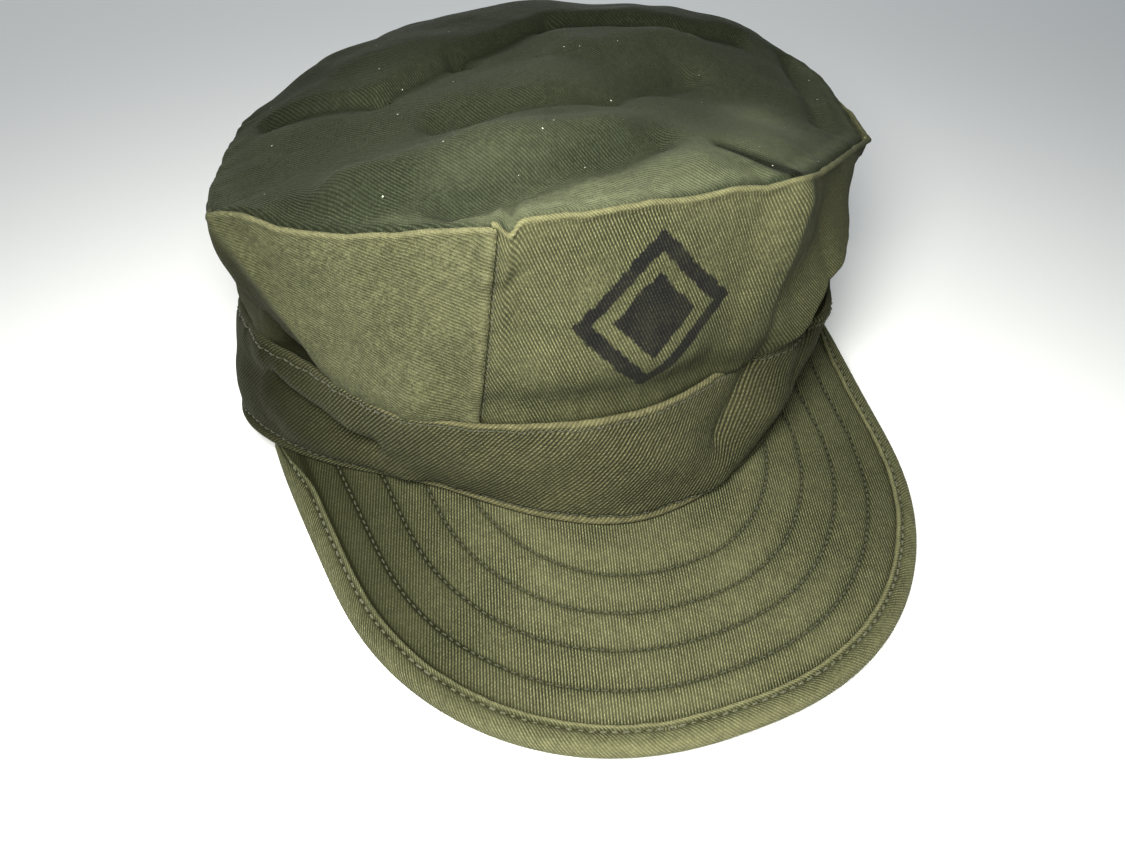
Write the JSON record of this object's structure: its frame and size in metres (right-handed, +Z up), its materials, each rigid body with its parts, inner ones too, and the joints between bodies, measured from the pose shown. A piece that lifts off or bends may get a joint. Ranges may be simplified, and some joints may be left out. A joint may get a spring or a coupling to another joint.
{
  "type": "eight-pointed utility cap",
  "caption": "Soft cloth utility cap with an octagonal crown, upright side panels, a headband with a sweatband inside, and a stitched, bound cloth visor at the front.",
  "frame": {"origin": "centre of the bounding box on the plane that the cap lies on", "axes": "+Z up, -Y the way the visor points, X across the cap"},
  "size_m": [0.199, 0.2446, 0.1018],
  "materials": {
    "crown_top_cloth": "matte",
    "side_crown_cloth": "matte",
    "headband_cloth": "matte",
    "sweatband_cloth": "matte",
    "visor_cloth": "matte",
    "visor_under_cloth": "matte",
    "visor_board": "matte",
    "visor_binding_cloth": "matte",
    "crown_thread": "matte",
    "headband_thread": "matte",
    "visor_thread": "matte"
  },
  "bodies": {
    "root": {"crown_top": "crown_top_cloth", "side_panel_front": "side_crown_cloth", "side_panel_right": "side_crown_cloth", "side_panel_rear": "side_crown_cloth", "side_panel_left": "side_crown_cloth", "headband": "headband_cloth", "sweatband": "sweatband_cloth", "visor_top_cover": "visor_cloth", "visor_bottom_cover": "visor_under_cloth", "visor_stiffener": "visor_board", "visor_binding": "visor_binding_cloth", "visor_stitch_row_1": "visor_thread", "visor_stitch_row_2": "visor_thread", "visor_stitch_row_3": "visor_thread", "visor_stitch_row_4": "visor_thread", "visor_binding_stitch": "visor_thread", "crown_edge_stitch": "crown_thread", "side_seam_stitch_1": "crown_thread", "side_seam_stitch_2": "crown_thread", "side_seam_stitch_3": "crown_thread", "side_seam_stitch_4": "crown_thread", "headband_top_stitch": "headband_thread", "headband_bottom_stitch": "headband_thread"}
  },
  "joints": []
}
